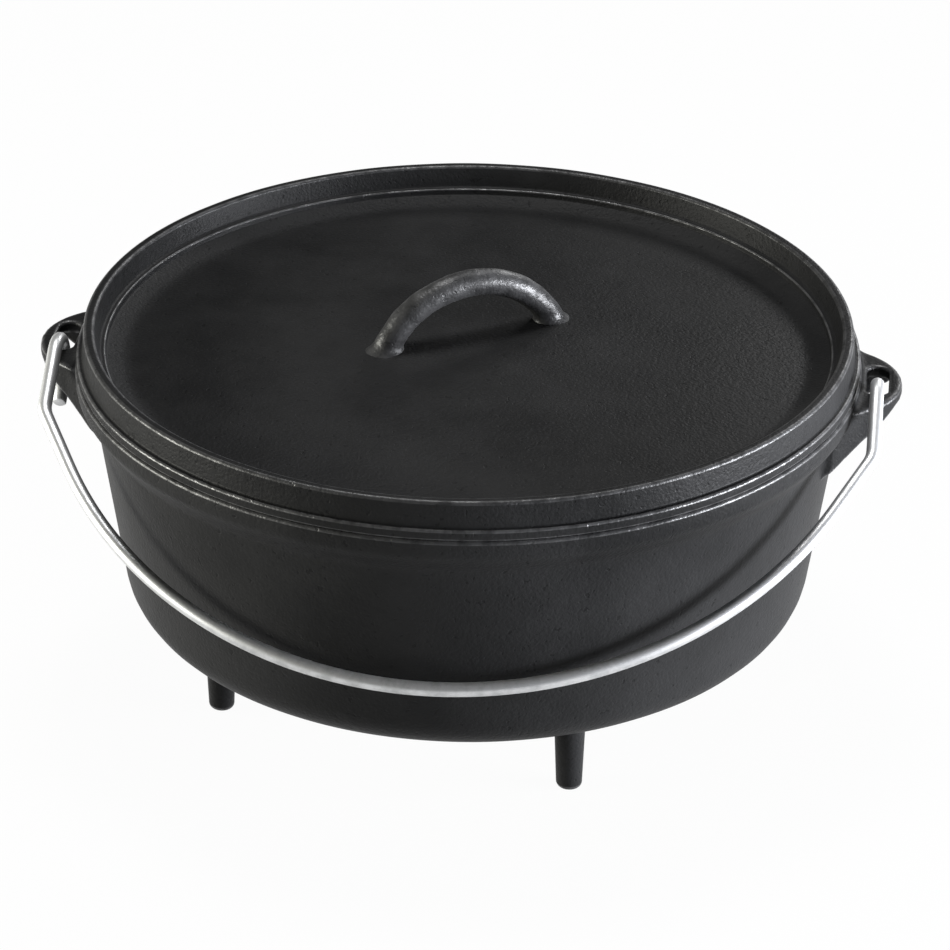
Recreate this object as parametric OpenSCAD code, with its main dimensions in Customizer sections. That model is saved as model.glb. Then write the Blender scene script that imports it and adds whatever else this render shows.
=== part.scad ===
// Camp dutch oven: a cast pot on four legs, a dished lid with a loop handle, and a wire bail.
// Millimetres, +Z up. The origin is on the ground, under the middle of the pot.
// The ears lie on the X axis and the bail hangs towards -Y.

/* [Pot] */
// Inner radius of the mouth
mouth_r = 159.5; // [150:0.5:170]
// Height of the pot from its underside to its rim
pot_h = 113; // [95:0.5:150]
// Thickness of the side wall
wall_t = 4.5; // [4:0.25:6]
// Thickness of the floor
floor_t = 5; // [4:0.25:8]
// How much the wall draws in from the rim to the underside
wall_draw = 16.5; // [8:0.5:22]
// Radius of the round between wall and underside
base_round = 20; // [12:0.5:28]
// Width of the flat seat on the rim that carries the lid
rim_seat_w = 9.5; // [8:0.5:12]
// Height of the upright lip under the rim
lip_h = 6; // [4:0.5:9]
// Height over which the lip runs into the wall
flare_h = 14; // [8:0.5:20]
// Radius of the round on the edges of both rims
edge_round = 1.5; // [0.75:0.25:2]

/* [Legs] */
// Height of the legs under the pot
leg_h = 39; // [28:0.5:50]
// Radius of the circle that the legs stand on
leg_ring_r = 115.5; // [95:0.5:118]
// Turn of the first leg from the line of the ears
leg_turn = 28.5; // [15:0.5:60]
// Radius of a leg where it leaves the pot
leg_root_r = 7; // [6:0.25:9]
// Radius of a leg just above its rounded end
leg_end_r = 5.5; // [4.5:0.25:7]
// Radius of the round at a leg's end
leg_round = 3; // [1.5:0.25:4]

/* [Ears] */
// How far an ear reaches out past the rim
ear_reach = 17.5; // [16:0.5:22]
// Radius of an ear's nose
ear_nose_r = 32; // [30:0.5:36]
// Angle on the nose where the flanks leave it
ear_flank = 59; // [56:1:62]
// Width of an ear where it joins the rim
ear_root_w = 76; // [72:0.5:84]
// Depth of an ear's top face below the rim
ear_drop = 2.75; // [2:0.25:6]
// Thickness of an ear's plate
ear_t = 5.5; // [4.5:0.25:7]
// Thickness of an ear at its tip
ear_tip_t = 3.5; // [2.5:0.25:4.5]
// Slope of the ribs under an ear, from its tip down to the wall
ear_slope = 38; // [30:1:42]
// Width of iron between the rim and the hole
ear_hole_in = 2.25; // [2:0.25:4]
// Width of the hole in an ear
ear_hole_w = 9.5; // [8.5:0.25:10]
// Reach of that hole behind the line of the ears
ear_hole_back = 15; // [12:0.5:18]
// Width of the rib that a hook turns on, in front of the hole
limb_w = 14.5; // [12:0.25:16]

/* [Lid] */
// Height of the lid's rim above the pot's rim
lid_rise = 16; // [13:0.5:22]
// Width of the top of the lid's rim
lid_rim_w = 4.5; // [3.5:0.25:6]
// How far the lid's rim stands in from the edge of the pot's rim
lid_rim_inset = 4; // [3:0.25:6]
// Height of the flange at the lid's foot
lid_flange_h = 4.75; // [3:0.25:7]
// How far the flange stands in from the edge of the pot's rim
lid_flange_inset = 0.75; // [0.5:0.25:2]
// How much the inside of the rim draws in down to its shelf
lid_draft = 2.25; // [1:0.25:3]
// Depth of the shelf inside the rim
shelf_depth = 9.5; // [7:0.25:11]
// Width of that shelf
shelf_w = 2.75; // [2:0.25:4]
// Drop from the shelf to the sloping ring
shelf_step = 2.5; // [1.5:0.25:3.5]
// Width of the sloping ring
slope_w = 9; // [6:0.5:12]
// Drop across the sloping ring
slope_drop = 3; // [2:0.25:4]
// Rise of the lid's plate from its edge to its middle
dome_rise = 9; // [4:0.5:14]
// Thickness of the lid's plate
plate_t = 5; // [4.5:0.25:7]
// Clearance of the lid's spigot in the mouth
spigot_gap = 1.5; // [0.75:0.25:3]

/* [Lid handle] */
// Distance between the middles of the handle's feet
handle_span = 78; // [66:1:92]
// Height of the handle's middle line above the plate
handle_h = 24; // [22:0.5:34]
// Radius of the handle's bar
handle_bar_r = 5.75; // [4.5:0.25:7]
// How far the feet spread beyond the bar at the plate
foot_flare = 2; // [1:0.25:4]
// Turn of the handle from the line of the ears
handle_turn = 30.5; // [0:0.5:60]

/* [Bail] */
// Radius of the bail's wire
wire_r = 3; // [2.5:0.1:4]
// How much larger the radius of the bail's main sweep is than the rim's
bail_sweep_out = 14; // [8:0.5:20]
// Half the angle of that sweep
bail_sweep_half = 62; // [60:0.5:64]
// Radius of the bend at a shoulder
bail_shoulder_r = 14; // [8:0.5:20]
// Length of a hook's free end
hook_tip = 8; // [5:0.5:14]

/* [Clearances] */
// Gap between a hook and the ear that it turns on
hook_gap = 0.4; // [0.3:0.05:1]
// Gap between the rim and the bail as it swings past
bail_pass_gap = 1; // [0.5:0.25:4]
// Gap between the hanging bail and the wall behind it
bail_rest_gap = 3.5; // [0.5:0.25:6]

/* [Hidden] */
$fn = 96;
iron = "#26272a";
zinc = "#c9cbcc";

// Rounds are drawn in this many straight steps
round_steps = 8;
// A cut runs this far past the face that it meets
over = 1;
// A run of bent bar that laps over the bends beside it is this much thicker, and laps this far
joint_proud = 0.05;
joint_lap = 0.5;

// Pot
rim_z = leg_h + pot_h;
rim_r = mouth_r + rim_seat_w;
wall_top_r = mouth_r + wall_t;
wall_foot_r = wall_top_r - wall_draw;
wall_lean = atan(wall_draw / pot_h);
lip_z = rim_z - lip_h;
flare_z = lip_z - flare_h;
floor_z = leg_h + floor_t;
inner_round = base_round - wall_t;
// The heel lies between the flat floor and the plain wall
heel_r = min(round_r(leg_h, 0, base_round), round_r(floor_z, wall_t, inner_round)) - over;
heel_z = max(leg_h + base_round, floor_z + inner_round);

// Ears
tip_x = rim_r + ear_reach;
nose_x = tip_x - ear_nose_r;
ear_top_z = rim_z - ear_drop;
flank_x = nose_x + ear_nose_r * cos(ear_flank);
flank_y = ear_nose_r * sin(ear_flank);
root_x = flank_x + flank_y - ear_root_w / 2;
hook_x = rim_r + ear_hole_in + ear_hole_w / 2;
// The hook turns on the rib between the hole and the front of the ear
limb_x = hook_x - wire_r;
limb_t = rib_t(limb_x);
pivot_y = limb_w / 2 - sqrt(pow(ear_nose_r, 2) - pow(limb_x - nose_x, 2));
pivot_z = ear_top_z - limb_t / 2;
hole_front = pivot_y + limb_w / 2;

// Lid
lid_z = rim_z + lid_rise;
lid_rim_r = rim_r - lid_rim_inset;
lid_flange_r = rim_r - lid_flange_inset;
lid_flange_z = rim_z + lid_flange_h;
shelf_z = lid_z - shelf_depth;
lid_inner_r = lid_rim_r - lid_rim_w;
shelf_r = lid_inner_r - lid_draft;
step_r = shelf_r - shelf_w;
step_z = shelf_z - shelf_step;
plate_r = step_r - slope_w;
plate_z = step_z - slope_drop;
dome_r = (pow(plate_r, 2) + pow(dome_rise, 2)) / (2 * dome_rise);
spigot_r = mouth_r - spigot_gap;
spigot_z = plate_z - plate_t;

// Lid handle
handle_half = handle_span / 2;
foot_z = dome_z(handle_half);
// The bar is one arch through both feet, which reach into the plate and are cut by it
arch_r = (pow(handle_half, 2) + pow(handle_h, 2)) / (2 * handle_h);
arch_half = 2 * atan(handle_h / handle_half);
foot_depth = plate_t / 2;
foot_in = 2.5;
arch_more = asin((handle_bar_r + foot_depth) / arch_r);

// Bail, drawn level towards -Y and then let down on its pivots until it hangs in front of the wall
limb_reach = norm([limb_w / 2, limb_t / 2]);
hook_r = limb_reach + hook_gap + wire_r;
bail_reach = rim_r + pivot_y + wire_r + bail_pass_gap;
sweep_r = rim_r + bail_sweep_out;
sweep_c = bail_reach - sweep_r;
sweep_end = [sweep_r * sin(bail_sweep_half), sweep_c + sweep_r * cos(bail_sweep_half)];
shoulder = [hook_x, sweep_end[1] - (hook_x - sweep_end[0]) * tan(bail_sweep_half)];
shoulder_run = bail_shoulder_r * tan((90 - bail_sweep_half) / 2);
rest_a = bail_reach - hook_r * tan(wall_lean);
rest_b = hook_r + bail_reach * tan(wall_lean);
rest_c = -pivot_y - wall_foot_r - (pivot_z - leg_h) * tan(wall_lean);
rest_d = (wire_r + bail_rest_gap) / cos(wall_lean) - rest_c;
bail_rest = atan2(rest_b, rest_a) + acos(rest_d / norm([rest_a, rest_b]));

// Points of an arc, as [radius, height]
function arc(c_r, c_z, r, from, to) =
    [for (i = [0:round_steps]) let (a = from + (to - from) * i / round_steps)
        [c_r + r * cos(a), c_z + r * sin(a)]];

// Outer radius of the plain wall at a height
function wall_at(z) = wall_foot_r + (z - leg_h) * tan(wall_lean);

// Inner radius of the plain wall at a height
function bore_at(z) = wall_at(z) - wall_t;

// Height of a rib under an ear at a distance from the middle of the pot
function rib_t(x) = ear_tip_t + (tip_x - x) * tan(ear_slope);

// Height of the lid's plate at a radius
function dome_z(r) = plate_z + dome_rise - dome_r + sqrt(pow(dome_r, 2) - pow(r, 2));

// Middle of the round between the wall and a floor
function round_r(z, in, r) = wall_at(z + r) - in - r / cos(wall_lean);

// Outside of the heel, from the underside up to the plain wall
function heel_outside() = concat(
    [[heel_r, leg_h]],
    arc(round_r(leg_h, 0, base_round), leg_h + base_round, base_round, -90, -wall_lean),
    [[wall_at(heel_z), heel_z]]
);

// Inside of the heel, from the plain wall down to the floor
function heel_inside() = concat(
    [[bore_at(heel_z), heel_z]],
    arc(round_r(floor_z, wall_t, inner_round), floor_z + inner_round, inner_round, -wall_lean, -90),
    [[heel_r, floor_z]]
);

// Outside of the flare and the lip, up to the top of the rim
function lip_outside() = concat(
    [for (i = [0:round_steps]) let (t = i / round_steps)
        [wall_at(flare_z) + (rim_r - wall_at(flare_z)) * t * t * (3 - 2 * t), flare_z + flare_h * t]],
    arc(rim_r - edge_round, rim_z - edge_round, edge_round, 0, 90)
);

// Inside of the mouth, from the top of the rim down to the plain wall
function mouth_inside() = concat(
    arc(mouth_r + edge_round, rim_z - edge_round, edge_round, 90, 180),
    [[bore_at(flare_z), flare_z]]
);

// Section of the lid's rim, from its seat over the flange and the rim to the shelf, and round the spigot
function rim_section() = concat(
    [[lid_flange_r, rim_z], [lid_flange_r, lid_flange_z], [lid_rim_r + edge_round / 2, lid_flange_z]],
    arc(lid_rim_r - edge_round, lid_z - edge_round, edge_round, 0, 90),
    arc(lid_inner_r + edge_round, lid_z - edge_round, edge_round, 90, 180),
    [[shelf_r, shelf_z], [step_r, shelf_z], [step_r, spigot_z]],
    [[spigot_r - edge_round, spigot_z], [spigot_r, spigot_z + edge_round], [spigot_r, rim_z]]
);

// Section of the lid's plate, from the sloping ring up over the dome and back along the underside
function plate_section() = concat(
    [[step_r, spigot_z], [step_r, step_z]],
    [for (i = [0:round_steps]) let (r = plate_r * (1 - i / round_steps)) [r, dome_z(r)]],
    [for (i = [0:round_steps]) let (r = plate_r * i / round_steps) [r, dome_z(r) - plate_t]]
);

module pot_solid() {
    rotate_extrude() polygon(concat([[0, leg_h]], heel_outside(), lip_outside(), [[0, rim_z]]));
}

module plate_solid() {
    rotate_extrude() polygon(plate_section());
}

module pot_floor() {
    color(iron) translate([0, 0, leg_h]) cylinder(r = heel_r, h = floor_t);
}

module pot_heel() {
    color(iron) rotate_extrude() polygon(concat(heel_outside(), heel_inside()));
}

module pot_wall() {
    color(iron) rotate_extrude() polygon([
        [wall_at(heel_z), heel_z], [wall_at(flare_z), flare_z],
        [bore_at(flare_z), flare_z], [bore_at(heel_z), heel_z]
    ]);
}

module pot_rim() {
    color(iron) rotate_extrude() polygon(concat(lip_outside(), mouth_inside()));
}

// Outline of the ear on +X, seen from above
module ear_outline() {
    translate([nose_x, 0]) circle(r = ear_nose_r);
    polygon([
        [nose_x - ear_nose_r, -ear_root_w / 2], [root_x, -ear_root_w / 2],
        [flank_x, -flank_y], [flank_x, flank_y],
        [root_x, ear_root_w / 2], [nose_x - ear_nose_r, ear_root_w / 2]
    ]);
}

// Hole that a hook passes through
module ear_hole() {
    end_r = ear_hole_w / 2;
    translate([hook_x, hole_front + end_r]) circle(r = end_r);
    translate([hook_x, ear_hole_back - end_r]) circle(r = end_r);
    translate([hook_x - end_r, hole_front + end_r])
        square([ear_hole_w, ear_hole_back - hole_front - ear_hole_w]);
}

// Ear without its hole, sloping underneath from the tip down to the wall
module ear_body() {
    depth = rib_t(wall_foot_r) + over;
    end_x = tip_x + over;
    intersection() {
        translate([0, 0, ear_top_z - depth]) linear_extrude(depth) ear_outline();
        rotate([90, 0, 0]) linear_extrude(ear_root_w + 2 * over, center = true) polygon([
            [0, ear_top_z - rib_t(0)], [end_x, ear_top_z - rib_t(end_x)],
            [end_x, ear_top_z + over], [0, ear_top_z + over]
        ]);
    }
}

// Hollow under the plate, between the two ribs
module ear_hollow() {
    front = hole_front + ear_hole_w / 2;
    depth = rib_t(wall_foot_r);
    translate([0, front, ear_top_z - ear_t - depth])
        cube([tip_x + over, ear_hole_back + over - front, depth]);
}

module ear() {
    depth = rib_t(wall_foot_r) + over;
    difference() {
        ear_body();
        translate([0, 0, ear_top_z - depth]) linear_extrude(depth + over) ear_hole();
        ear_hollow();
        pot_solid();
    }
}

module ear_right() {
    color(iron) ear();
}

module ear_left() {
    color(iron) mirror([1, 0, 0]) ear();
}

// One leg, numbered round the pot from the ears' line
module leg(i) {
    color(iron) rotate(leg_turn + i * 90) translate([leg_ring_r, 0, 0])
        rotate_extrude() polygon(concat(
            [[0, 0]],
            arc(leg_end_r - leg_round, leg_round, leg_round, -90, 0),
            [[leg_root_r, leg_h], [0, leg_h]]
        ));
}

module leg_back_right() {
    leg(0);
}

module leg_back_left() {
    leg(1);
}

module leg_front_left() {
    leg(2);
}

module leg_front_right() {
    leg(3);
}

module lid_rim() {
    color(iron) rotate_extrude() polygon(rim_section());
}

module lid_plate() {
    color(iron) plate_solid();
}

// Arc of bent bar in the XY plane
module bar_arc(r, bar_r, from, to) {
    rotate([0, 0, from]) rotate_extrude(angle = to - from) translate([r, 0]) circle(r = bar_r);
}

// Foot of the handle at +X, a cone that ends inside the bar
module handle_foot() {
    translate([handle_half, 0, -foot_depth])
        cylinder(r1 = handle_bar_r + foot_flare + foot_depth, r2 = handle_bar_r - foot_in,
            h = foot_depth + foot_flare + foot_in);
}

// Bar of the handle from foot to foot, cut level inside the plate
module handle_arch() {
    reach = arch_half + arch_more;
    intersection() {
        translate([0, 0, handle_h - arch_r]) rotate([90, 0, 0])
            bar_arc(arch_r, handle_bar_r, 90 - reach, 90 + reach);
        translate([-handle_span, -handle_span, -foot_depth]) cube(2 * handle_span);
    }
}

module lid_handle() {
    color(iron) difference() {
        rotate(handle_turn) translate([0, 0, foot_z]) {
            handle_arch();
            handle_foot();
            mirror([1, 0, 0]) handle_foot();
        }
        plate_solid();
    }
}

// Straight wire in the bail's own plane, as [x, reach], lapping over the bends at its ends
module wire_run(from, to) {
    d = to - from;
    translate([from[0], -from[1], 0]) rotate([0, 0, atan2(-d[1], d[0])]) rotate([0, 90, 0])
        translate([0, 0, -joint_lap]) cylinder(r = wire_r + joint_proud, h = norm(d) + 2 * joint_lap);
}

// Arm, shoulder and hook at +X
module bail_side() {
    arm_end = shoulder - [0, shoulder_run];
    run_start = shoulder + shoulder_run * [-cos(bail_sweep_half), sin(bail_sweep_half)];
    translate([0, 0, hook_r]) {
        wire_run([hook_x, 0], arm_end);
        translate([arm_end[0] - bail_shoulder_r, -arm_end[1], 0])
            bar_arc(bail_shoulder_r, wire_r, bail_sweep_half - 90, 0);
        wire_run(run_start, sweep_end);
    }
    translate([hook_x, 0, 0]) rotate([0, -90, 0]) bar_arc(hook_r, wire_r, 0, 180);
    translate([hook_x, joint_lap, -hook_r]) rotate([90, 0, 0])
        cylinder(r = wire_r + joint_proud, h = hook_tip + joint_lap);
}

module bail() {
    color(zinc) translate([0, pivot_y, pivot_z]) rotate([bail_rest, 0, 0]) {
        translate([0, -sweep_c, hook_r])
            bar_arc(sweep_r, wire_r, -90 - bail_sweep_half, -90 + bail_sweep_half);
        bail_side();
        mirror([1, 0, 0]) bail_side();
    }
}

pot_floor();
pot_heel();
pot_wall();
pot_rim();
ear_left();
ear_right();
leg_back_right();
leg_back_left();
leg_front_left();
leg_front_right();
lid_rim();
lid_plate();
lid_handle();
bail();
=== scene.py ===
"""Camp dutch oven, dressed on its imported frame: a cast pot, a cast lid and a wire bail."""
import logging
import math
from dataclasses import dataclass, field
from enum import Enum
from typing import Sequence

import bmesh
import bpy
from mathutils import Matrix, Vector, noise


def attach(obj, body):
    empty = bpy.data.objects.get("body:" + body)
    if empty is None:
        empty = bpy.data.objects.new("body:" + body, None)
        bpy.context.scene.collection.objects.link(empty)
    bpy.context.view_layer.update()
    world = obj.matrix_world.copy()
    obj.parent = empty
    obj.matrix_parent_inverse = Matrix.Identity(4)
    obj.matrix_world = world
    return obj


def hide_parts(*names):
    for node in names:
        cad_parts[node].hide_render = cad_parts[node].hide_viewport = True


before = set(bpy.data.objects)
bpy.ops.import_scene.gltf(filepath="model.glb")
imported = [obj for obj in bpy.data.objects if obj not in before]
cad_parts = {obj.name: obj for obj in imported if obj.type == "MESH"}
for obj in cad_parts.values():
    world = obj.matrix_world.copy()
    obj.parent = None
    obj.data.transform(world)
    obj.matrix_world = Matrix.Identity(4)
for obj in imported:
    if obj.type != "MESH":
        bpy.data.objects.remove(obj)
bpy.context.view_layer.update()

log = logging.getLogger("dutch_oven")
MM = 0.001
Colour = tuple[float, float, float]


class Slot(Enum):
    """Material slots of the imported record."""

    POT = "pot_iron"
    LID = "lid_iron"
    BAIL = "bail_wire"


class Body(Enum):
    """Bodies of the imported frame."""

    POT = "pot"
    LID = "lid"
    BAIL = "bail"


class Side(Enum):
    """Which end of the ears' line a piece is on, as the sign of its X."""

    LEFT = -1
    RIGHT = 1


@dataclass(frozen=True)
class Corner:
    """One corner of a turned section, in millimetres.

    Args:
        r: Distance from the axis.
        z: Height.
        round: Radius that the corner is rounded to.
    """

    r: float
    z: float
    round: float = 0.0


def rounded(corners: Sequence[Corner], steps: int = 5) -> list[Vector]:
    """Turns corners into a smooth section.

    Args:
        corners: Corners in order along the section.
        steps: Straight steps in each rounded corner.

    Returns:
        Points of the section in metres, in the XZ plane.
    """
    points: list[Vector] = []
    for i, corner in enumerate(corners):
        here = Vector((corner.r, corner.z))
        if corner.round <= 0 or i in (0, len(corners) - 1):
            points.append(here)
            continue
        back = Vector((corners[i - 1].r, corners[i - 1].z)) - here
        ahead = Vector((corners[i + 1].r, corners[i + 1].z)) - here
        half = back.angle(ahead) / 2
        run = min(corner.round / math.tan(half), 0.48 * back.length, 0.48 * ahead.length)
        radius = run * math.tan(half)
        middle = here + (back.normalized() + ahead.normalized()).normalized() * (radius / math.sin(half))
        start = here + back.normalized() * run - middle
        turn = start.angle_signed(here + ahead.normalized() * run - middle)
        for k in range(steps + 1):
            points.append(middle + Matrix.Rotation(-turn * k / steps, 2) @ start)
    return [Vector((p.x * MM, 0, p.y * MM)) for p in points]


def turned(section: Sequence[Vector], steps: int) -> bmesh.types.BMesh:
    """Spins a section round the Z axis into a closed casting.

    Args:
        section: Points in the XZ plane, in metres, with both ends on the axis.
        steps: Steps in the full turn.

    Returns:
        A new bmesh with its normals outwards.
    """
    bm = bmesh.new()
    verts = [bm.verts.new(p) for p in section]
    edges = [bm.edges.new(pair) for pair in zip(verts, verts[1:])]
    bmesh.ops.spin(bm, geom=verts + edges, cent=(0, 0, 0), axis=(0, 0, 1), dvec=(0, 0, 0),
                   angle=math.tau, steps=steps, use_merge=True, use_duplicate=False)
    bmesh.ops.remove_doubles(bm, verts=bm.verts, dist=1e-6)
    bmesh.ops.recalc_face_normals(bm, faces=bm.faces)
    return bm


def uneven(bm: bmesh.types.BMesh, depth: float, size: float) -> None:
    """Makes a skin slightly wavy, as a sand casting is.

    Args:
        bm: Mesh to move.
        depth: Greatest move in millimetres.
        size: Size of the waves in millimetres.
    """
    bm.normal_update()
    for v in bm.verts:
        v.co += v.normal * (depth * MM * noise.noise(v.co / (size * MM)))


def mark_edges(bm: bmesh.types.BMesh, tight: float, full: float) -> None:
    """Writes how sharply each point bulges, for the wear along edges.

    Args:
        bm: Mesh to mark.
        tight: Radius in millimetres at which wear begins.
        full: Radius in millimetres at which wear is whole.
    """
    layer = bm.verts.layers.float.get("wear") or bm.verts.layers.float.new("wear")
    low, high = 1 / (tight * MM), 1 / (full * MM)
    bm.normal_update()
    for v in bm.verts:
        bulge = 0.0
        for e in v.link_edges:
            if len(e.link_faces) == 2:
                gap = (e.link_faces[0].calc_center_median() - e.link_faces[1].calc_center_median()).length
                bulge = max(bulge, e.calc_face_angle_signed(0.0) / max(gap, 1e-6))
        v[layer] = min(1.0, max(0.0, (bulge - low) / (high - low)))


def piece(name: str, bm: bmesh.types.BMesh, body: Body, nodes: Sequence[str],
          material: bpy.types.Material) -> bpy.types.Object:
    """Makes a finished object from a bmesh and puts it on the frame.

    Args:
        name: Name of the piece.
        bm: Its mesh, which is freed.
        body: Body that it moves with.
        nodes: CAD nodes that it stands for.
        material: Its material.

    Returns:
        The new object.
    """
    mesh = bpy.data.meshes.new(name)
    bm.to_mesh(mesh)
    bm.free()
    mesh.shade_smooth()
    mesh.materials.append(material)
    obj = bpy.data.objects.new(name, mesh)
    bpy.context.scene.collection.objects.link(obj)
    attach(obj, body.value)
    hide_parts(*nodes)
    log.info("%s: %d faces on %s", name, len(mesh.polygons), body.value)
    return obj


class Nodes:
    """Small helper that adds and wires shader nodes in one tree."""

    def __init__(self, tree: bpy.types.NodeTree) -> None:
        """Keeps the tree that the nodes go into."""
        self.tree = tree

    def add(self, kind: str, **values: object) -> bpy.types.Node:
        """Adds a node and sets its properties.

        Args:
            kind: Blender's type name of the node.
            values: Properties to set.

        Returns:
            The new node.
        """
        node = self.tree.nodes.new(kind)
        for key, value in values.items():
            setattr(node, key, value)
        return node

    def link(self, source: bpy.types.NodeSocket, target: bpy.types.NodeSocket) -> None:
        """Joins an output to an input."""
        self.tree.links.new(source, target)

    def feed(self, target: bpy.types.NodeSocket, value: object) -> None:
        """Links a socket to an input, or sets the input to a plain value."""
        if isinstance(value, bpy.types.NodeSocket):
            self.link(value, target)
        else:
            target.default_value = value

    def maths(self, operation: str, a: object, b: object) -> bpy.types.NodeSocket:
        """Adds a Math node.

        Args:
            operation: Its operation.
            a: First socket or number.
            b: Second socket or number.

        Returns:
            Its output.
        """
        node = self.add("ShaderNodeMath", operation=operation)
        self.feed(node.inputs[0], a)
        self.feed(node.inputs[1], b)
        return node.outputs[0]

    def spread(self, value: object, low: float, high: float, to_low: object,
               to_high: object) -> bpy.types.NodeSocket:
        """Maps a range of values on to another, smoothly and within its ends.

        Args:
            value: Socket to map.
            low: Value that becomes to_low.
            high: Value that becomes to_high.
            to_low: Result at the low end.
            to_high: Result at the high end.

        Returns:
            The mapped output.
        """
        node = self.add("ShaderNodeMapRange", interpolation_type="SMOOTHSTEP")
        for i, item in enumerate((value, low, high, to_low, to_high)):
            self.feed(node.inputs[i], item)
        return node.outputs[0]

    def blend(self, share: object, a: object, b: object) -> bpy.types.NodeSocket:
        """Mixes two colours.

        Args:
            share: How much of the second colour shows.
            a: First colour.
            b: Second colour.

        Returns:
            The mixed colour.
        """
        node = self.add("ShaderNodeMix", data_type="RGBA")
        self.feed(node.inputs[0], share)
        self.feed(node.inputs[6], a)
        self.feed(node.inputs[7], b)
        return node.outputs[2]

    def clouds(self, vector: bpy.types.NodeSocket, scale: object, detail: float,
               rough: float) -> bpy.types.NodeSocket:
        """Adds a Noise texture.

        Args:
            vector: Coordinates.
            scale: Waves in a metre.
            detail: Octaves.
            rough: Strength of each next octave.

        Returns:
            Its grey output.
        """
        node = self.add("ShaderNodeTexNoise")
        self.link(vector, node.inputs["Vector"])
        self.feed(node.inputs["Scale"], scale)
        node.inputs["Detail"].default_value = detail
        node.inputs["Roughness"].default_value = rough
        return node.outputs[0]


class CastSkin:
    """Shared node group: the pebbled skin that a sand mould leaves on iron."""

    NAME = "cast_skin"

    @classmethod
    def group(cls) -> bpy.types.NodeTree:
        """Gives the group, built on first use.

        Returns:
            The node group, with outputs Height, Tone, Speck and Pit.
        """
        tree = bpy.data.node_groups.get(cls.NAME)
        if tree:
            return tree
        tree = bpy.data.node_groups.new(cls.NAME, "ShaderNodeTree")
        face = tree.interface
        face.new_socket("Vector", in_out="INPUT", socket_type="NodeSocketVector")
        face.new_socket("Pebbles", in_out="INPUT", socket_type="NodeSocketFloat")
        for name in ("Height", "Tone", "Speck", "Pit"):
            face.new_socket(name, in_out="OUTPUT", socket_type="NodeSocketFloat")
        n = Nodes(tree)
        given = n.add("NodeGroupInput")
        out = n.add("NodeGroupOutput")
        vector, pebbles = given.outputs["Vector"], given.outputs["Pebbles"]
        coarse = n.clouds(vector, n.maths("MULTIPLY", pebbles, 0.3), 3.0, 0.55)
        grain = n.clouds(vector, pebbles, 2.0, 0.6)
        cells = n.add("ShaderNodeTexVoronoi", feature="SMOOTH_F1")
        n.link(vector, cells.inputs["Vector"])
        n.link(n.maths("MULTIPLY", pebbles, 0.8), cells.inputs["Scale"])
        cells.inputs["Smoothness"].default_value = 0.6
        bumps = n.maths("MULTIPLY", cells.outputs["Distance"], -0.5)
        pit = n.spread(n.clouds(vector, n.maths("MULTIPLY", pebbles, 0.45), 1.0, 0.5), 0.66, 0.74, 0.0, 1.0)
        height = n.maths("ADD", n.maths("MULTIPLY", coarse, 0.9), n.maths("MULTIPLY", grain, 0.8))
        height = n.maths("ADD", height, bumps)
        height = n.maths("SUBTRACT", height, n.maths("MULTIPLY", pit, 0.5))
        n.link(height, out.inputs["Height"])
        n.link(n.clouds(vector, 11.0, 4.0, 0.6), out.inputs["Tone"])
        n.link(n.spread(n.clouds(vector, n.maths("MULTIPLY", pebbles, 0.9), 1.0, 0.5), 0.6, 0.72, 0.0, 1.0),
               out.inputs["Speck"])
        n.link(pit, out.inputs["Pit"])
        return tree


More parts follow.
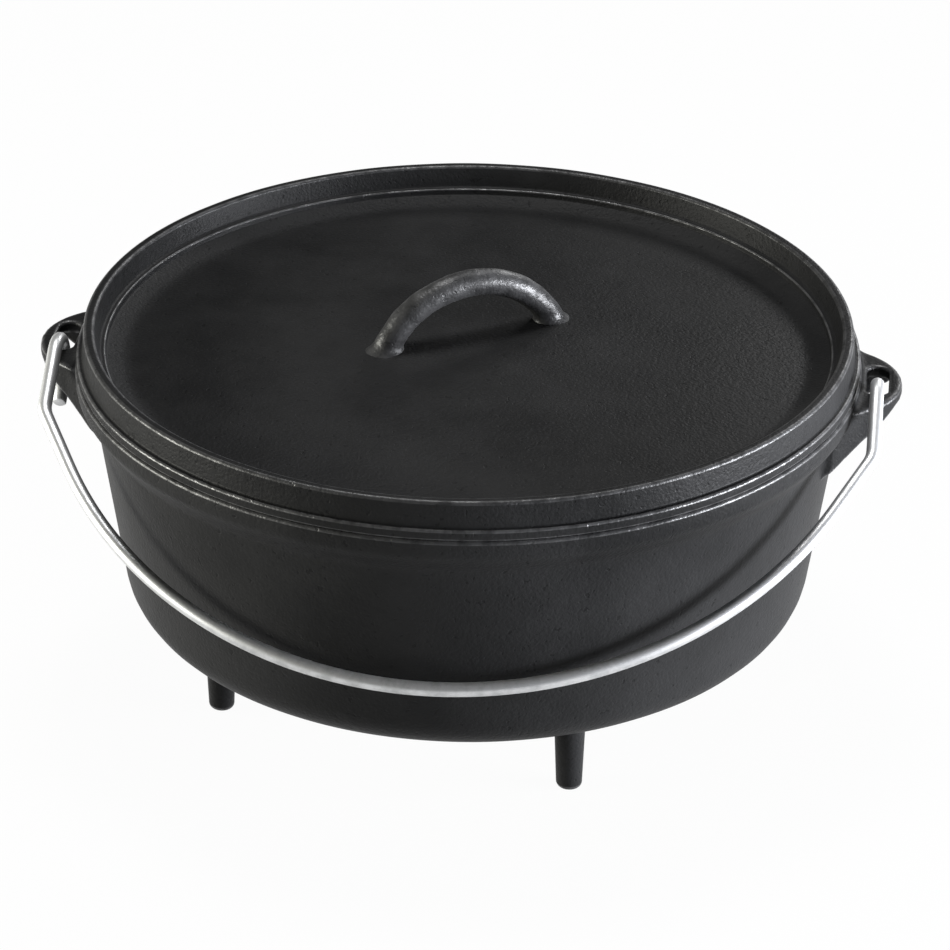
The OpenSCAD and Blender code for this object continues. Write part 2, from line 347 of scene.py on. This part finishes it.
@dataclass(frozen=True)
class IronFinish:
    """Seasoned cast iron.

    Args:
        name: Name of the material.
        dark: Colour of the plain skin.
        pale: Colour where the seasoning is thinner.
        bare: Colour of rubbed edges.
        pebbles: Grains in a metre.
        depth: Depth of the grain in millimetres.
        rough: Roughness of the plain skin.
        rubbed: How far edges are rubbed, from 0 to 1.
        speckled: How far small bright specks show.
        pitted: How far pits darken.
        sheen: Specular level of the plain skin.
        polish: How much rubbing adds to the sheen.
        smoothing: How much rubbing takes off the roughness.
    """

    name: str
    dark: Colour = (0.008, 0.0081, 0.0083)
    pale: Colour = (0.0155, 0.0156, 0.0159)
    bare: Colour = (0.055, 0.055, 0.0565)
    pebbles: float = 850.0
    depth: float = 0.2
    rough: float = 0.46
    rubbed: float = 0.7
    speckled: float = 0.06
    pitted: float = 0.5
    sheen: float = 0.055
    polish: float = 0.8
    smoothing: float = 0.2

    def material(self) -> bpy.types.Material:
        """Builds the material.

        Returns:
            The new material.
        """
        mat = bpy.data.materials.new(self.name)
        mat.use_nodes = True
        n = Nodes(mat.node_tree)
        shader = mat.node_tree.nodes["Principled BSDF"]
        place = n.add("ShaderNodeTexCoord").outputs["Object"]
        skin = n.add("ShaderNodeGroup")
        skin.node_tree = CastSkin.group()
        n.link(place, skin.inputs["Vector"])
        skin.inputs["Pebbles"].default_value = self.pebbles
        edge = n.add("ShaderNodeAttribute", attribute_name="wear").outputs["Fac"]
        patch = n.clouds(place, 160.0, 3.0, 0.6)
        worn = n.maths("MULTIPLY", edge, n.spread(patch, 0.3, 0.65, 0.25, 1.0))
        worn = n.maths("MULTIPLY", worn, self.rubbed)
        tone = n.spread(skin.outputs["Tone"], 0.3, 0.7, 0.0, 1.0)
        colour = n.blend(tone, (*self.dark, 1), (*self.pale, 1))
        colour = n.blend(n.maths("MULTIPLY", skin.outputs["Speck"], self.speckled), colour, (*self.bare, 1))
        hollow = tuple(c * 0.5 for c in self.dark)
        colour = n.blend(n.maths("MULTIPLY", skin.outputs["Pit"], self.pitted), colour, (*hollow, 1))
        colour = n.blend(worn, colour, (*self.bare, 1))
        n.link(colour, shader.inputs["Base Color"])
        rough = n.spread(skin.outputs["Tone"], 0.3, 0.7, self.rough - 0.05, self.rough + 0.05)
        rough = n.maths("SUBTRACT", rough, n.maths("MULTIPLY", worn, self.smoothing))
        n.link(rough, shader.inputs["Roughness"])
        bump = n.add("ShaderNodeBump")
        bump.inputs["Strength"].default_value = 1.0
        bump.inputs["Distance"].default_value = self.depth * MM
        n.link(skin.outputs["Height"], bump.inputs["Height"])
        n.link(bump.outputs["Normal"], shader.inputs["Normal"])
        level = n.maths("ADD", n.maths("MULTIPLY", worn, self.polish), self.sheen)
        n.link(level, shader.inputs["Specular IOR Level"])
        return mat


@dataclass(frozen=True)
class ZincFinish:
    """Bright zinc-plated wire.

    Args:
        name: Name of the material.
        bright: Colour of the plating.
        dull: Colour of its clouded patches.
        rough: Roughness of the plating.
        metallic: How far it reflects as a metal.
    """

    name: str = "zinc_wire"
    bright: Colour = (0.56, 0.565, 0.57)
    dull: Colour = (0.38, 0.385, 0.39)
    rough: float = 0.42
    metallic: float = 0.8

    def material(self) -> bpy.types.Material:
        """Builds the material.

        Returns:
            The new material.
        """
        mat = bpy.data.materials.new(self.name)
        mat.use_nodes = True
        n = Nodes(mat.node_tree)
        shader = mat.node_tree.nodes["Principled BSDF"]
        place = n.add("ShaderNodeTexCoord").outputs["Object"]
        clouds = n.spread(n.clouds(place, 120.0, 4.0, 0.65), 0.35, 0.7, 0.0, 1.0)
        fine = n.clouds(place, 2200.0, 2.0, 0.5)
        n.link(n.blend(clouds, (*self.bright, 1), (*self.dull, 1)), shader.inputs["Base Color"])
        n.link(n.maths("ADD", n.maths("MULTIPLY", clouds, 0.12), self.rough - 0.04), shader.inputs["Roughness"])
        shader.inputs["Metallic"].default_value = self.metallic
        bump = n.add("ShaderNodeBump")
        bump.inputs["Strength"].default_value = 0.35
        bump.inputs["Distance"].default_value = 0.04 * MM
        n.link(fine, bump.inputs["Height"])
        n.link(bump.outputs["Normal"], shader.inputs["Normal"])
        return mat


@dataclass
class PotCasting:
    """The pot: its shell, two ears and four legs, in millimetres."""

    underside_z: float = 39.0
    rim_z: float = 152.0
    rim_r: float = 169.0
    mouth_r: float = 159.5
    wall_t: float = 4.5
    floor_t: float = 5.0
    wall_draw: float = 16.5
    base_round: float = 20.0
    lip_h: float = 6.0
    flare_h: float = 14.0
    ear_top_z: float = 149.25
    ear_t: float = 5.5
    ear_tip_x: float = 186.5
    ear_tip_t: float = 3.5
    ear_slope: float = 38.0
    ear_flank: float = 59.0
    ear_nose_x: float = 154.5
    ear_nose_r: float = 32.0
    ear_root_w: float = 76.0
    ear_inset: float = 18.0
    ear_hole_x: float = 176.0
    ear_hole_w: float = 9.5
    ear_hole_y: tuple[float, float] = (-11.6103, 15.0)
    patch_z: float = 108.0
    patch_sunk: float = 0.35
    leg_ring_r: float = 115.5
    leg_turn: float = 28.5
    leg_names: tuple[str, ...] = ("leg_back_right", "leg_back_left", "leg_front_left", "leg_front_right")
    finish: IronFinish = field(default_factory=lambda: IronFinish("pot_skin"))

    def __post_init__(self) -> None:
        """Makes the one material that the whole casting shares."""
        self.material = self.finish.material()

    def wall_r(self, z: float) -> float:
        """Gives the wall's outer radius at a height."""
        top = self.mouth_r + self.wall_t
        return top - self.wall_draw * (self.rim_z - z) / (self.rim_z - self.underside_z)

    def outside(self, sunk: float = 0.0) -> list[Corner]:
        """Lists the corners of the wall's outer face from the underside to the rim.

        Args:
            sunk: How far the face is set back.

        Returns:
            Corners from the foot of the wall up to the rim's edge.
        """
        lip_z = self.rim_z - self.lip_h
        flare_z = lip_z - self.flare_h
        low = self.wall_r(flare_z)
        corners = [Corner(self.wall_r(self.underside_z) - sunk, self.underside_z, self.base_round)]
        for k in range(11):
            t = k / 10
            corners.append(Corner(low + (self.rim_r - low) * t * t * (3 - 2 * t) - sunk, flare_z + self.flare_h * t))
        corners.append(Corner(self.rim_r - sunk, self.rim_z, 1.5))
        return corners

    def shell(self) -> None:
        """Builds the pot's shell."""
        floor_z = self.underside_z + self.floor_t
        corners = [Corner(0, self.underside_z), Corner(60, self.underside_z), *self.outside()]
        corners += [
            Corner(self.mouth_r, self.rim_z, 1.5),
            Corner(self.wall_r(100) - self.wall_t, 100),
            Corner(self.wall_r(floor_z) - self.wall_t, floor_z, self.base_round - self.wall_t),
            Corner(60, floor_z), Corner(0, floor_z),
        ]
        bm = turned(rounded(corners, 8), 288)
        uneven(bm, 0.12, 38.0)
        mark_edges(bm, 3.0, 1.2)
        piece("pot_shell_cast", bm, Body.POT, ["pot_floor", "pot_heel", "pot_wall", "pot_rim"],
              self.material)

    def nose(self, start: float, end: float) -> list[tuple[float, float]]:
        """Lists points round the nose of the ear on +X.

        Args:
            start: First angle in degrees.
            end: Last angle in degrees.

        Returns:
            Points seen from above, in millimetres.
        """
        angles = (math.radians(start + (end - start) * k / 24) for k in range(25))
        return [(self.ear_nose_x + self.ear_nose_r * math.cos(a), self.ear_nose_r * math.sin(a)) for a in angles]

    def root(self) -> list[tuple[float, float]]:
        """Lists the front flank of the ear on +X, from inside the wall out to the nose.

        Returns:
            Points seen from above, in millimetres.
        """
        half = self.ear_root_w / 2
        flank = math.radians(self.ear_flank)
        root_x = self.ear_nose_x + self.ear_nose_r * (math.cos(flank) + math.sin(flank)) - half
        return [(self.rim_r - self.ear_inset, -half - 3), (root_x - 1, -half - 1), (root_x + 3, -half + 3.5)]

    def hole_end(self, start: float) -> list[tuple[float, float]]:
        """Lists points round one end of the hole in the ear on +X.

        Args:
            start: First angle in degrees: 0 for the back end, 180 for the front end.

        Returns:
            Points over half a turn seen from above, in millimetres.
        """
        end = self.ear_hole_w / 2
        y = self.ear_hole_y[0] + end if start else self.ear_hole_y[1] - end
        angles = (math.radians(start + 15 * k) for k in range(13))
        return [(self.ear_hole_x + end * math.cos(a), y + end * math.sin(a)) for a in angles]

    def plate(self, bm: bmesh.types.BMesh) -> None:
        """Adds the plate of the ear on +X, with its hole.

        Args:
            bm: Mesh to add to.
        """
        front = self.root()
        outline = front + self.nose(-self.ear_flank, self.ear_flank) + [(x, -y) for x, y in reversed(front)]
        edges: list[bmesh.types.BMEdge] = []
        for loop in (outline, self.hole_end(0) + self.hole_end(180)):
            verts = [bm.verts.new(Vector((x, y, self.ear_top_z)) * MM) for x, y in loop]
            edges += [bm.edges.new((a, b)) for a, b in zip(verts, verts[1:] + verts[:1])]
        top = bmesh.ops.triangle_fill(bm, edges=edges, use_beauty=True)["geom"]
        grown = bmesh.ops.extrude_face_region(bm, geom=[g for g in top if isinstance(g, bmesh.types.BMFace)])["geom"]
        moved = [g for g in grown if isinstance(g, bmesh.types.BMVert)]
        bmesh.ops.translate(bm, verts=moved, vec=(0, 0, -self.ear_t * MM))

    def rib(self, bm: bmesh.types.BMesh, outline: Sequence[tuple[float, float]]) -> None:
        """Adds a rib of the ear on +X, sloping underneath from the tip down to the wall.

        Args:
            bm: Mesh to add to.
            outline: The rib seen from above, in millimetres.
        """
        top = self.ear_top_z - 0.4
        verts = [bm.verts.new(Vector((x, y, top)) * MM) for x, y in outline]
        face = bm.faces.new(verts)
        grown = bmesh.ops.extrude_face_region(bm, geom=[face])["geom"]
        slope = math.tan(math.radians(self.ear_slope))
        for v in grown:
            if isinstance(v, bmesh.types.BMVert):
                depth = self.ear_tip_t + (self.ear_tip_x - v.co.x / MM) * slope
                v.co.z = (self.ear_top_z - depth) * MM

    def ear(self, side: Side) -> None:
        """Builds one ear with its ribs, melted into a thin slice of the wall behind it.

        Args:
            side: Which ear.
        """
        bm = bmesh.new()
        self.plate(bm)
        inner = self.rim_r - self.ear_inset
        front_y = self.ear_hole_y[0] + self.ear_hole_w / 2
        back_y = self.ear_hole_y[1] + 1
        front = math.degrees(math.asin(front_y / self.ear_nose_r))
        back = math.degrees(math.asin(back_y / self.ear_nose_r))
        notch = list(reversed(self.hole_end(180)))
        self.rib(bm, self.root() + self.nose(-self.ear_flank, front) + notch + [(inner, front_y)])
        back_root = [(x, -y) for x, y in reversed(self.root())]
        self.rib(bm, self.nose(back, self.ear_flank) + back_root + [(inner, back_y)])
        wall = [(c.r, c.z) for c in self.outside(self.patch_sunk)[1:]]
        low = self.wall_r(self.patch_z)
        patch = [(low - self.patch_sunk, self.patch_z), *wall, (self.rim_r - 4, 151.5), (low - 4, self.patch_z)]
        self.sector(bm, patch, 18.0)
        bmesh.ops.recalc_face_normals(bm, faces=bm.faces)
        if side is Side.LEFT:
            bmesh.ops.scale(bm, vec=(-1, 1, 1), verts=bm.verts)
            bmesh.ops.reverse_faces(bm, faces=bm.faces)
        bm = self.melted(bm, 0.8, 7)
        mark_edges(bm, 5.0, 1.5)
        name = f"ear_{side.name.lower()}"
        piece(f"{name}_cast", bm, Body.POT, [name], self.material)

    @staticmethod
    def sector(bm: bmesh.types.BMesh, section: Sequence[tuple[float, float]], half: float) -> None:
        """Adds a slice of a turned section to a mesh.

        Args:
            bm: Mesh to add to.
            section: Closed section as radius and height, in millimetres.
            half: Half the slice's angle in degrees, either side of +X.
        """
        turn = Matrix.Rotation(math.radians(-half), 4, "Z")
        verts = [bm.verts.new(turn @ Vector((r * MM, 0, z * MM))) for r, z in section]
        face = bm.faces.new(verts)
        bmesh.ops.spin(bm, geom=[*verts, *face.edges, face], cent=(0, 0, 0), axis=(0, 0, 1), dvec=(0, 0, 0),
                       angle=math.radians(2 * half), steps=24, use_merge=False, use_duplicate=False)

    @staticmethod
    def melted(bm: bmesh.types.BMesh, grain: float, rounds: int) -> bmesh.types.BMesh:
        """Joins overlapping solids into one skin and rounds it, as cast metal flows.

        Args:
            bm: Solids that overlap; it is freed.
            grain: Size of the new skin's faces in millimetres.
            rounds: How often the skin is smoothed.

        Returns:
            The new skin.
        """
        mesh = bpy.data.meshes.new("melt")
        bm.to_mesh(mesh)
        bm.free()
        obj = bpy.data.objects.new("melt", mesh)
        bpy.context.scene.collection.objects.link(obj)
        remesh = obj.modifiers.new("skin", "REMESH")
        remesh.mode = "VOXEL"
        remesh.voxel_size = grain * MM
        shape = obj.evaluated_get(bpy.context.evaluated_depsgraph_get())
        out = bmesh.new()
        out.from_mesh(shape.to_mesh())
        shape.to_mesh_clear()
        bpy.data.objects.remove(obj)
        bpy.data.meshes.remove(mesh)
        for _ in range(rounds):
            bmesh.ops.smooth_vert(out, verts=out.verts, factor=0.5, use_axis_x=True, use_axis_y=True,
                                  use_axis_z=True)
        return out

    def leg(self, number: int) -> None:
        """Builds one leg, which spreads where it leaves the underside.

        Args:
            number: Place of the leg in leg_names, round from the ears' line.
        """
        top = self.underside_z
        corners = [
            Corner(0, 0), Corner(5.5, 0, 3.0), Corner(6.8, top - 4.5), Corner(6.95, top - 1.2, 4.0),
            Corner(11.5, top + 0.15), Corner(11.5, top + 1.2), Corner(0, top + 1.2),
        ]
        bm = turned(rounded(corners, 7), 56)
        uneven(bm, 0.25, 9.0)
        mark_edges(bm, 5.0, 2.0)
        turn = Matrix.Rotation(math.radians(self.leg_turn + 90 * number), 4, "Z")
        bmesh.ops.translate(bm, verts=bm.verts, vec=turn @ Vector((self.leg_ring_r * MM, 0, 0)))
        low = min(v.co.z for v in bm.verts)
        bmesh.ops.translate(bm, verts=bm.verts, vec=(0, 0, -low))
        name = self.leg_names[number]
        piece(f"{name}_cast", bm, Body.POT, [name], self.material)

    def build(self) -> None:
        """Builds the whole casting."""
        self.shell()
        for side in Side:
            self.ear(side)
        for number in range(len(self.leg_names)):
            self.leg(number)


@dataclass
class LidCasting:
    """The lid: a dished plate with a raised rim, and its loop handle, in millimetres."""

    seat_z: float = 152.0
    top_z: float = 168.0
    flange_r: float = 168.25
    flange_z: float = 156.75
    rim_r: float = 165.0
    rim_w: float = 4.5
    shelf_z: float = 158.5
    shelf_r: float = 158.25
    step_r: float = 155.5
    step_z: float = 156.0
    plate_r: float = 146.5
    plate_z: float = 153.0
    dome_rise: float = 9.0
    plate_t: float = 5.0
    spigot_r: float = 158.0
    handle_turn: float = 30.5
    handle_half: float = 39.0
    handle_h: float = 24.0
    bar_r: float = 5.75
    foot_h: float = 3.5
    foot_depth: float = 2.5
    handle_wear: float = 0.6
    finish: IronFinish = field(default_factory=lambda: IronFinish("lid_skin", rough=0.48))

    def __post_init__(self) -> None:
        """Makes the one material that the whole casting shares."""
        self.material = self.finish.material()

    def dome_z(self, r: float) -> float:
        """Gives the plate's height at a radius."""
        sphere = (self.plate_r ** 2 + self.dome_rise ** 2) / (2 * self.dome_rise)
        return self.plate_z + self.dome_rise - sphere + math.sqrt(sphere ** 2 - r ** 2)

    def plate(self) -> None:
        """Builds the plate, the sloping ring and the rim as one turned casting."""
        radii = [self.plate_r * k / 24 for k in range(24)]
        inner = self.rim_r - self.rim_w
        corners = [Corner(r, self.dome_z(r)) for r in radii]
        corners += [
            Corner(self.plate_r, self.plate_z, 16.0),
            Corner(self.step_r, self.step_z, 0.9),
            Corner(self.step_r + 0.4, self.shelf_z, 0.8),
            Corner(self.shelf_r, self.shelf_z + 0.1, 1.4),
            Corner(inner, self.top_z, 1.6),
            Corner(self.rim_r, self.top_z, 1.6),
            Corner(self.rim_r + 0.75, self.flange_z, 1.0),
            Corner(self.flange_r, self.flange_z, 1.3),
            Corner(self.flange_r, self.seat_z, 1.0),
            Corner(self.spigot_r, self.seat_z, 0.6),
            Corner(self.spigot_r, self.plate_z - self.plate_t, 1.5),
        ]
        corners += [Corner(r, self.dome_z(r) - self.plate_t) for r in reversed(radii)]
        bm = turned(rounded(corners, 6), 288)
        uneven(bm, 0.12, 34.0)
        mark_edges(bm, 3.0, 1.2)
        piece("lid_plate_cast", bm, Body.LID, ["lid_rim", "lid_plate"], self.material)

    def handle(self) -> None:
        """Builds the handle: half an arch swept down from its top, mirrored, cut level and spread at its feet."""
        arch_r = (self.handle_half ** 2 + self.handle_h ** 2) / (2 * self.handle_h)
        middle_z = self.handle_h - arch_r
        lean = 2 * math.atan(self.handle_h / self.handle_half) + 0.17
        bm = bmesh.new()
        top = Matrix.Translation((0, 0, self.handle_h * MM)) @ Matrix.Rotation(math.pi / 2, 4, "Y")
        bmesh.ops.create_circle(bm, cap_ends=False, segments=48, radius=self.bar_r * MM, matrix=top)
        bmesh.ops.spin(bm, geom=bm.verts[:] + bm.edges[:], cent=(0, 0, middle_z * MM), axis=(0, 1, 0),
                       dvec=(0, 0, 0), angle=lean, steps=48, use_merge=False, use_duplicate=False)
        bmesh.ops.mirror(bm, geom=bm.verts[:] + bm.edges[:] + bm.faces[:], axis="X", merge_dist=1e-6)
        bmesh.ops.bisect_plane(bm, geom=bm.verts[:] + bm.edges[:] + bm.faces[:], clear_outer=True,
                               plane_co=(0, 0, -self.foot_depth * MM), plane_no=(0, 0, -1))
        bmesh.ops.holes_fill(bm, edges=[e for e in bm.edges if e.is_boundary], sides=0)
        bmesh.ops.remove_doubles(bm, verts=bm.verts, dist=1e-6)
        bmesh.ops.recalc_face_normals(bm, faces=bm.faces)
        for v in bm.verts:
            drop = self.foot_h - v.co.z / MM
            if drop > 0:
                along = math.copysign(math.sqrt(arch_r ** 2 - (v.co.z / MM - middle_z) ** 2), v.co.x)
                v.co += Vector((v.co.x - along * MM, v.co.y, 0)).normalized() * (0.13 * drop ** 2 * MM)
        uneven(bm, 0.3, 8.0)
        layer = bm.verts.layers.float.new("wear")
        for v in bm.verts:
            v[layer] = self.handle_wear
        place = Matrix.Translation((0, 0, self.dome_z(self.handle_half) * MM))
        place @= Matrix.Rotation(math.radians(self.handle_turn), 4, "Z")
        bmesh.ops.transform(bm, matrix=place, verts=bm.verts)
        piece("lid_handle_cast", bm, Body.LID, ["lid_handle"], self.material)

    def build(self) -> None:
        """Builds the whole casting."""
        self.plate()
        self.handle()


@dataclass
class WireBail:
    """The bail: one wire with a sweep, two shoulders, two arms and two hooks, in millimetres."""

    pivot: tuple[float, float] = (-18.8603, 142.226)
    rest: float = 29.352
    wire_r: float = 3.0
    hook_x: float = 176.0
    hook_r: float = 13.4943
    tip: float = 8.0
    shoulder_s: float = 29.9318
    shoulder_r: float = 14.0
    sweep_r: float = 183.0
    sweep_half: float = 62.0
    reach: float = 154.140
    finish: ZincFinish = field(default_factory=ZincFinish)

    def straight(self, bm: bmesh.types.BMesh, edges: list[bmesh.types.BMEdge],
                 way: Vector) -> list[bmesh.types.BMEdge]:
        """Carries the wire's last ring along a straight line.

        Args:
            bm: Mesh that the ring is in.
            edges: The ring.
            way: Move in millimetres.

        Returns:
            The new ring.
        """
        made = bmesh.ops.extrude_edge_only(bm, edges=edges)["geom"]
        bmesh.ops.translate(bm, verts=[g for g in made if isinstance(g, bmesh.types.BMVert)], vec=way * MM)
        return [g for g in made if isinstance(g, bmesh.types.BMEdge)]

    def curve(self, bm: bmesh.types.BMesh, edges: list[bmesh.types.BMEdge], middle: Vector, axis: Vector,
              angle: float, steps: int) -> list[bmesh.types.BMEdge]:
        """Carries the wire's last ring round an arc.

        Args:
            bm: Mesh that the ring is in.
            edges: The ring.
            middle: Middle of the arc in millimetres.
            axis: Axis of the arc.
            angle: Angle of the arc in degrees.
            steps: Steps along it.

        Returns:
            The last ring.
        """
        verts = list({v for e in edges for v in e.verts})
        made = bmesh.ops.spin(bm, geom=verts + edges, cent=middle * MM, axis=axis, dvec=(0, 0, 0),
                              angle=math.radians(angle), steps=steps, use_merge=False, use_duplicate=False)
        return [g for g in made["geom_last"] if isinstance(g, bmesh.types.BMEdge)]

    def build(self) -> None:
        """Draws half the wire level towards -Y, mirrors it and lets it down on its pivots."""
        half = math.radians(self.sweep_half)
        run = self.shoulder_r * math.tan((math.pi / 2 - half) / 2)
        arm = self.shoulder_s - run
        sweep_c = self.reach - self.sweep_r
        end = Vector((self.sweep_r * math.sin(half), -(sweep_c + self.sweep_r * math.cos(half)), self.hook_r))
        start = Vector((self.hook_x - run * math.cos(half), -(self.shoulder_s + run * math.sin(half)), self.hook_r))
        bm = bmesh.new()
        ring = bmesh.ops.create_circle(bm, cap_ends=True, segments=24, radius=self.wire_r * MM)["verts"]
        bmesh.ops.rotate(bm, verts=ring, cent=(0, 0, 0), matrix=Matrix.Rotation(math.pi / 2, 3, "X"))
        bmesh.ops.translate(bm, verts=ring, vec=Vector((self.hook_x, -self.tip, -self.hook_r)) * MM)
        edges = list(bm.edges)
        bmesh.ops.scale(bm, verts=ring, vec=(0.78, 1, 0.78),
                        space=Matrix.Translation(-Vector((self.hook_x, -self.tip, -self.hook_r)) * MM))
        edges = self.straight(bm, edges, Vector((0, 0.5, 0)))
        grown = list({v for e in edges for v in e.verts})
        bmesh.ops.scale(bm, verts=grown, vec=(1 / 0.78, 1, 1 / 0.78),
                        space=Matrix.Translation(-Vector((self.hook_x, -self.tip, -self.hook_r)) * MM))
        edges = self.straight(bm, edges, Vector((0, self.tip - 0.5, 0)))
        across, up = Vector((1, 0, 0)), Vector((0, 0, 1))
        edges = self.curve(bm, edges, Vector((self.hook_x, 0, 0)), across, 180, 24)
        edges = self.straight(bm, edges, Vector((0, -arm, 0)))
        edges = self.curve(bm, edges, Vector((self.hook_x - self.shoulder_r, -arm, self.hook_r)), up,
                           self.sweep_half - 90, 8)
        edges = self.straight(bm, edges, end - start)
        self.curve(bm, edges, Vector((0, -sweep_c, self.hook_r)), up, -self.sweep_half, 48)
        bmesh.ops.mirror(bm, geom=bm.verts[:] + bm.edges[:] + bm.faces[:], axis="X", merge_dist=1e-6)
        bmesh.ops.remove_doubles(bm, verts=bm.verts, dist=1e-6)
        bmesh.ops.recalc_face_normals(bm, faces=bm.faces)
        place = Matrix.Translation((0, self.pivot[0] * MM, self.pivot[1] * MM))
        place @= Matrix.Rotation(math.radians(self.rest), 4, "X")
        bmesh.ops.transform(bm, matrix=place, verts=bm.verts)
        piece("bail_wire_bent", bm, Body.BAIL, ["bail"], self.finish.material())


@dataclass(frozen=True)
class SoftLamp:
    """A soft box.

    Args:
        name: Name of the lamp.
        place: Where it stands, in metres.
        size: Width and height in metres.
        power: Power in watts.
        colour: Colour of its light.
    """

    name: str
    place: Colour
    size: tuple[float, float]
    power: float
    colour: Colour = (1.0, 1.0, 1.0)

    def build(self, target: Vector) -> None:
        """Hangs the lamp and turns it towards a point.

        Args:
            target: Point that it faces.
        """
        data = bpy.data.lights.new(self.name, "AREA")
        data.shape = "RECTANGLE"
        data.size, data.size_y = self.size
        data.energy = self.power
        data.color = self.colour
        lamp = bpy.data.objects.new(self.name, data)
        bpy.context.scene.collection.objects.link(lamp)
        lamp.location = self.place
        lamp.rotation_euler = (target - Vector(self.place)).to_track_quat("-Z", "Y").to_euler()


@dataclass
class Studio:
    """Floor, light and camera."""

    camera_place: Colour = (0.18156, -1.72507, 1.01817)
    camera_turn: float = 5.9
    camera_dip: float = 28.087
    camera_roll: float = 0.534
    camera_lens: float = 170.53
    floor_white: float = 0.96
    floor_grey: float = 0.45
    sky: float = 0.05
    lamps: tuple[SoftLamp, ...] = (
        SoftLamp("lamp_top", (-0.1, 0.4, 1.75), (0.5, 0.5), 26.0),
        SoftLamp("lamp_back", (0.75, 1.9, 1.15), (0.8, 0.5), 16.0),
        SoftLamp("lamp_right", (1.48, -0.2, 0.22), (0.9, 0.34), 100.0, (0.93, 0.95, 1.0)),
        SoftLamp("lamp_left", (-1.5, -0.3, 0.3), (0.9, 0.4), 46.0, (1.0, 0.99, 0.91)),
    )

    def floor(self) -> None:
        """Lays a pale floor that the camera sees as white, with the object's faint shadow."""
        bm = bmesh.new()
        bmesh.ops.create_grid(bm, x_segments=1, y_segments=1, size=30.0)
        mesh = bpy.data.meshes.new("floor")
        bm.to_mesh(mesh)
        bm.free()
        mat = bpy.data.materials.new("floor_white")
        mat.use_nodes = True
        n = Nodes(mat.node_tree)
        n.tree.nodes.clear()
        out = n.add("ShaderNodeOutputMaterial")
        path = n.add("ShaderNodeLightPath")
        seen = n.maths("MAXIMUM", path.outputs["Is Camera Ray"], path.outputs["Is Glossy Ray"])
        seen = n.maths("MAXIMUM", seen, path.outputs["Is Transmission Ray"])
        plain = n.add("ShaderNodeBsdfDiffuse")
        plain.inputs["Color"].default_value = (self.floor_grey,) * 3 + (1,)
        white = n.add("ShaderNodeEmission")
        mix = n.add("ShaderNodeMixShader")
        n.link(n.maths("MULTIPLY", seen, self.floor_white), mix.inputs[0])
        n.link(plain.outputs[0], mix.inputs[1])
        n.link(white.outputs[0], mix.inputs[2])
        n.link(mix.outputs[0], out.inputs["Surface"])
        mesh.materials.append(mat)
        obj = bpy.data.objects.new("floor", mesh)
        bpy.context.scene.collection.objects.link(obj)

    def light(self) -> None:
        """Sets the plain grey sky and hangs the lamps."""
        world = bpy.data.worlds.new("sky")
        world.use_nodes = True
        back = world.node_tree.nodes["Background"]
        back.inputs["Color"].default_value = (1, 1, 1, 1)
        back.inputs["Strength"].default_value = self.sky
        bpy.context.scene.world = world
        for lamp in self.lamps:
            lamp.build(Vector((0, 0, 0.1)))

    def camera(self) -> None:
        """Places the camera where the photograph was taken from."""
        data = bpy.data.cameras.new("camera")
        data.sensor_fit = "HORIZONTAL"
        data.sensor_width = 36.0
        data.lens = self.camera_lens
        data.clip_end = 100.0
        obj = bpy.data.objects.new("camera", data)
        bpy.context.scene.collection.objects.link(obj)
        turn = Matrix.Rotation(math.radians(self.camera_turn), 4, "Z")
        dip = Matrix.Rotation(math.radians(90 - self.camera_dip), 4, "X")
        roll = Matrix.Rotation(math.radians(self.camera_roll), 4, "Z")
        obj.matrix_world = Matrix.Translation(self.camera_place) @ turn @ dip @ roll
        bpy.context.scene.camera = obj

    def build(self) -> None:
        """Builds the whole studio."""
        bpy.context.scene.view_settings.view_transform = "Standard"
        self.floor()
        self.light()
        self.camera()


def main() -> None:
    """Builds the oven's sub-assemblies and the studio in order."""
    logging.basicConfig(level=logging.INFO, format="%(message)s")
    for assembly in (PotCasting(), LidCasting(), WireBail(), Studio()):
        assembly.build()
        log.info("built %s", type(assembly).__name__)


if __name__ == "__main__":
    main()
